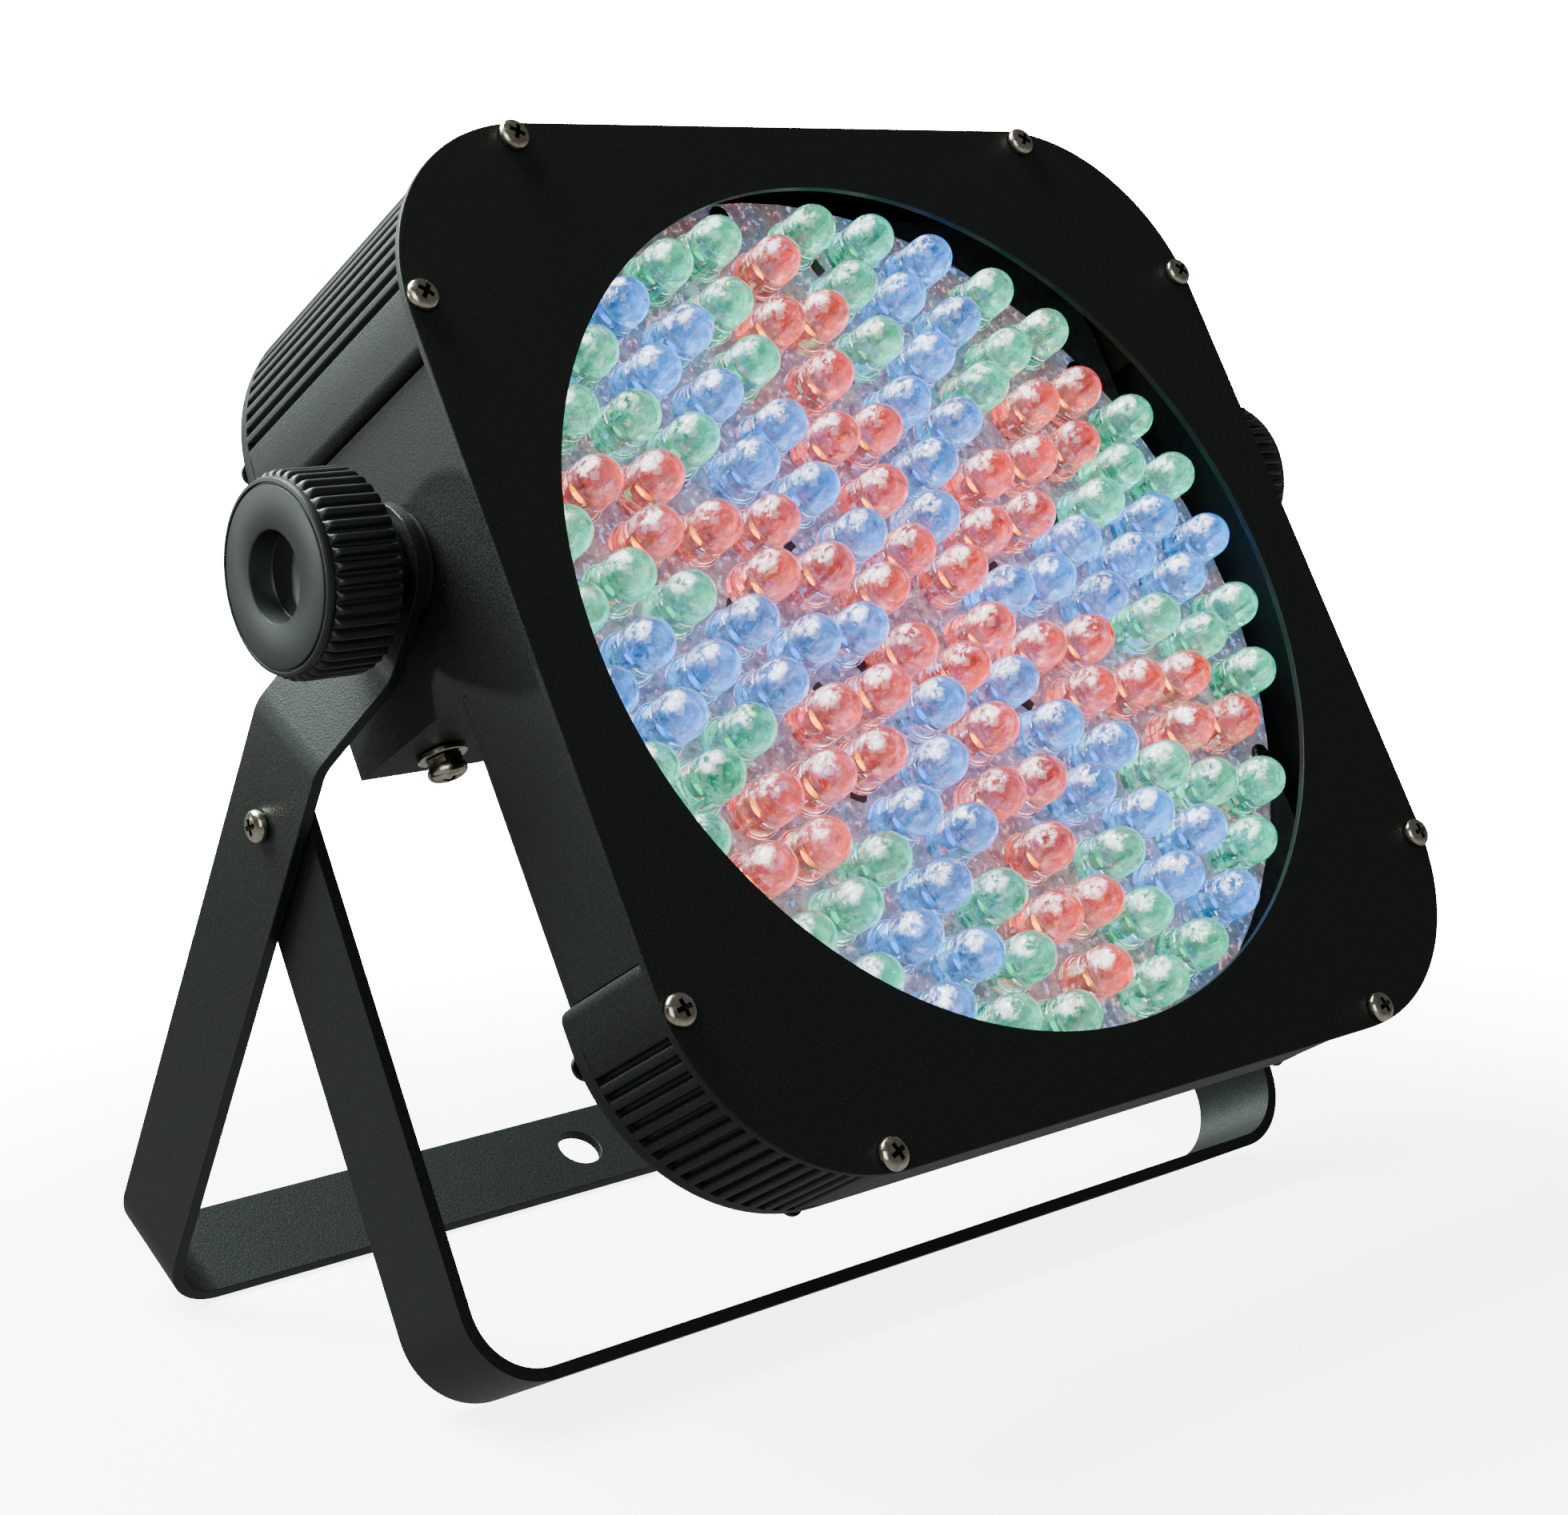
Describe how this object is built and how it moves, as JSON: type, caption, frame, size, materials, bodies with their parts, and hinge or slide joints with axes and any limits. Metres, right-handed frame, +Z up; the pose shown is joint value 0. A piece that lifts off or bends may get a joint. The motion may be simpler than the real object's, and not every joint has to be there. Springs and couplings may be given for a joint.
{
  "type": "par can light",
  "caption": "Slim square LED par light with ribbed corners and a round lamp field, tilting on a yoke with side knobs and a fold-out front stand bracket.",
  "frame": {"origin": "centre of the bounding box's bottom face, on the ground under the light", "axes": "+Z up, +X to the right as seen from the front and along the tilt hinge, -Y the way the light faces (nose up 27.5 degrees at rest)"},
  "size_m": [0.2594, 0.1972, 0.2404],
  "materials": {
    "body_coat": "matte",
    "bracket_coat": "satin",
    "black_plastic": "matte",
    "black_rubber": "matte",
    "zinc": "satin",
    "dark_steel": "satin",
    "clear_lens": "gloss",
    "pale_board": "satin",
    "green_board": "satin",
    "bare_aluminium": "satin"
  },
  "bodies": {
    "rear_bracket": {"rear_bracket": "bracket_coat", "pivot_screw_left": "zinc", "pivot_screw_right": "zinc", "pivot_nut_left": "zinc", "pivot_nut_right": "zinc"},
    "head": {"front_plate": "body_coat", "corner_block_upper_left": "body_coat", "corner_block_upper_right": "body_coat", "corner_block_lower_left": "body_coat", "corner_block_lower_right": "body_coat", "housing_shell": "body_coat", "upper_rear_cover": "body_coat", "lower_rear_cover": "body_coat", "dmx_in_socket": "black_plastic", "dmx_out_socket": "black_plastic", "power_inlet": "black_plastic", "fuse_holder": "black_plastic", "friction_washer_left": "black_rubber", "friction_washer_right": "black_rubber", "knob_nut_left": "zinc", "knob_nut_right": "zinc", "ground_screw": "zinc", "plate_screw_1": "zinc", "plate_screw_2": "zinc", "plate_screw_3": "zinc", "plate_screw_4": "zinc", "plate_screw_5": "zinc", "plate_screw_6": "zinc", "plate_screw_7": "zinc", "plate_screw_8": "zinc", "cover_screw_1": "zinc", "cover_screw_2": "zinc", "cover_screw_3": "zinc", "cover_screw_4": "zinc", "cover_screw_5": "zinc", "cover_screw_6": "zinc", "cover_screw_7": "zinc", "cover_screw_8": "zinc", "board_screw_1": "dark_steel", "board_screw_2": "dark_steel", "board_screw_3": "dark_steel", "board_screw_4": "dark_steel", "board_screw_5": "dark_steel", "board_screw_6": "dark_steel", "led_array": "clear_lens", "led_board": "pale_board", "driver_board": "green_board", "display_board": "green_board", "chassis_plate": "bare_aluminium", "power_supply": "bare_aluminium"},
    "front_bracket": {"front_bracket": "bracket_coat"},
    "knob_washer_left": {"knob_washer_left": "zinc"},
    "knob_left": {"knob_left": "black_plastic"},
    "knob_washer_right": {"knob_washer_right": "zinc"},
    "knob_right": {"knob_right": "black_plastic"},
    "button_1": {"button_1": "black_plastic"},
    "button_2": {"button_2": "black_plastic"},
    "button_3": {"button_3": "black_plastic"},
    "button_4": {"button_4": "black_plastic"}
  },
  "joints": [
    {"name": "head_tilt", "type": "hinge", "parent": "rear_bracket", "child": "head", "pos_m": [0, -0.00714, 0.15965], "axis": [1, 0, 0], "range_deg": [-120, 120]},
    {"name": "front_bracket_fold", "type": "hinge", "parent": "rear_bracket", "child": "front_bracket", "pos_m": [0, 0.02388, 0.11005], "axis": [1, 0, 0], "range_deg": [-12, 57]},
    {"name": "knob_left_travel", "type": "slide", "parent": "head", "child": "knob_washer_left", "axis": [-1, 0, 0], "range_m": [0, 0.0025]},
    {"name": "knob_left_turn", "type": "hinge", "parent": "knob_washer_left", "child": "knob_left", "pos_m": [-0.12, -0.00714, 0.15965], "axis": [-1, 0, 0], "range_deg": [0, 720]},
    {"name": "knob_right_travel", "type": "slide", "parent": "head", "child": "knob_washer_right", "axis": [1, 0, 0], "range_m": [0, 0.0025]},
    {"name": "knob_right_turn", "type": "hinge", "parent": "knob_washer_right", "child": "knob_right", "pos_m": [0.12, -0.00714, 0.15965], "axis": [1, 0, 0], "range_deg": [0, 720]},
    {"name": "button_1_press", "type": "slide", "parent": "head", "child": "button_1", "axis": [0, -0.8868, 0.4621], "range_m": [0, 0.001], "stiffness_N_per_m": 600, "springref_m": -0.0005},
    {"name": "button_2_press", "type": "slide", "parent": "head", "child": "button_2", "axis": [0, -0.8868, 0.4621], "range_m": [0, 0.001], "stiffness_N_per_m": 600, "springref_m": -0.0005},
    {"name": "button_3_press", "type": "slide", "parent": "head", "child": "button_3", "axis": [0, -0.8868, 0.4621], "range_m": [0, 0.001], "stiffness_N_per_m": 600, "springref_m": -0.0005},
    {"name": "button_4_press", "type": "slide", "parent": "head", "child": "button_4", "axis": [0, -0.8868, 0.4621], "range_m": [0, 0.001], "stiffness_N_per_m": 600, "springref_m": -0.0005}
  ],
  "couplings": [
    {"joint": "knob_left_turn", "follows": "knob_left_travel", "rad_per_m": 5026.5},
    {"joint": "knob_right_turn", "follows": "knob_right_travel", "rad_per_m": 5026.5}
  ]
}
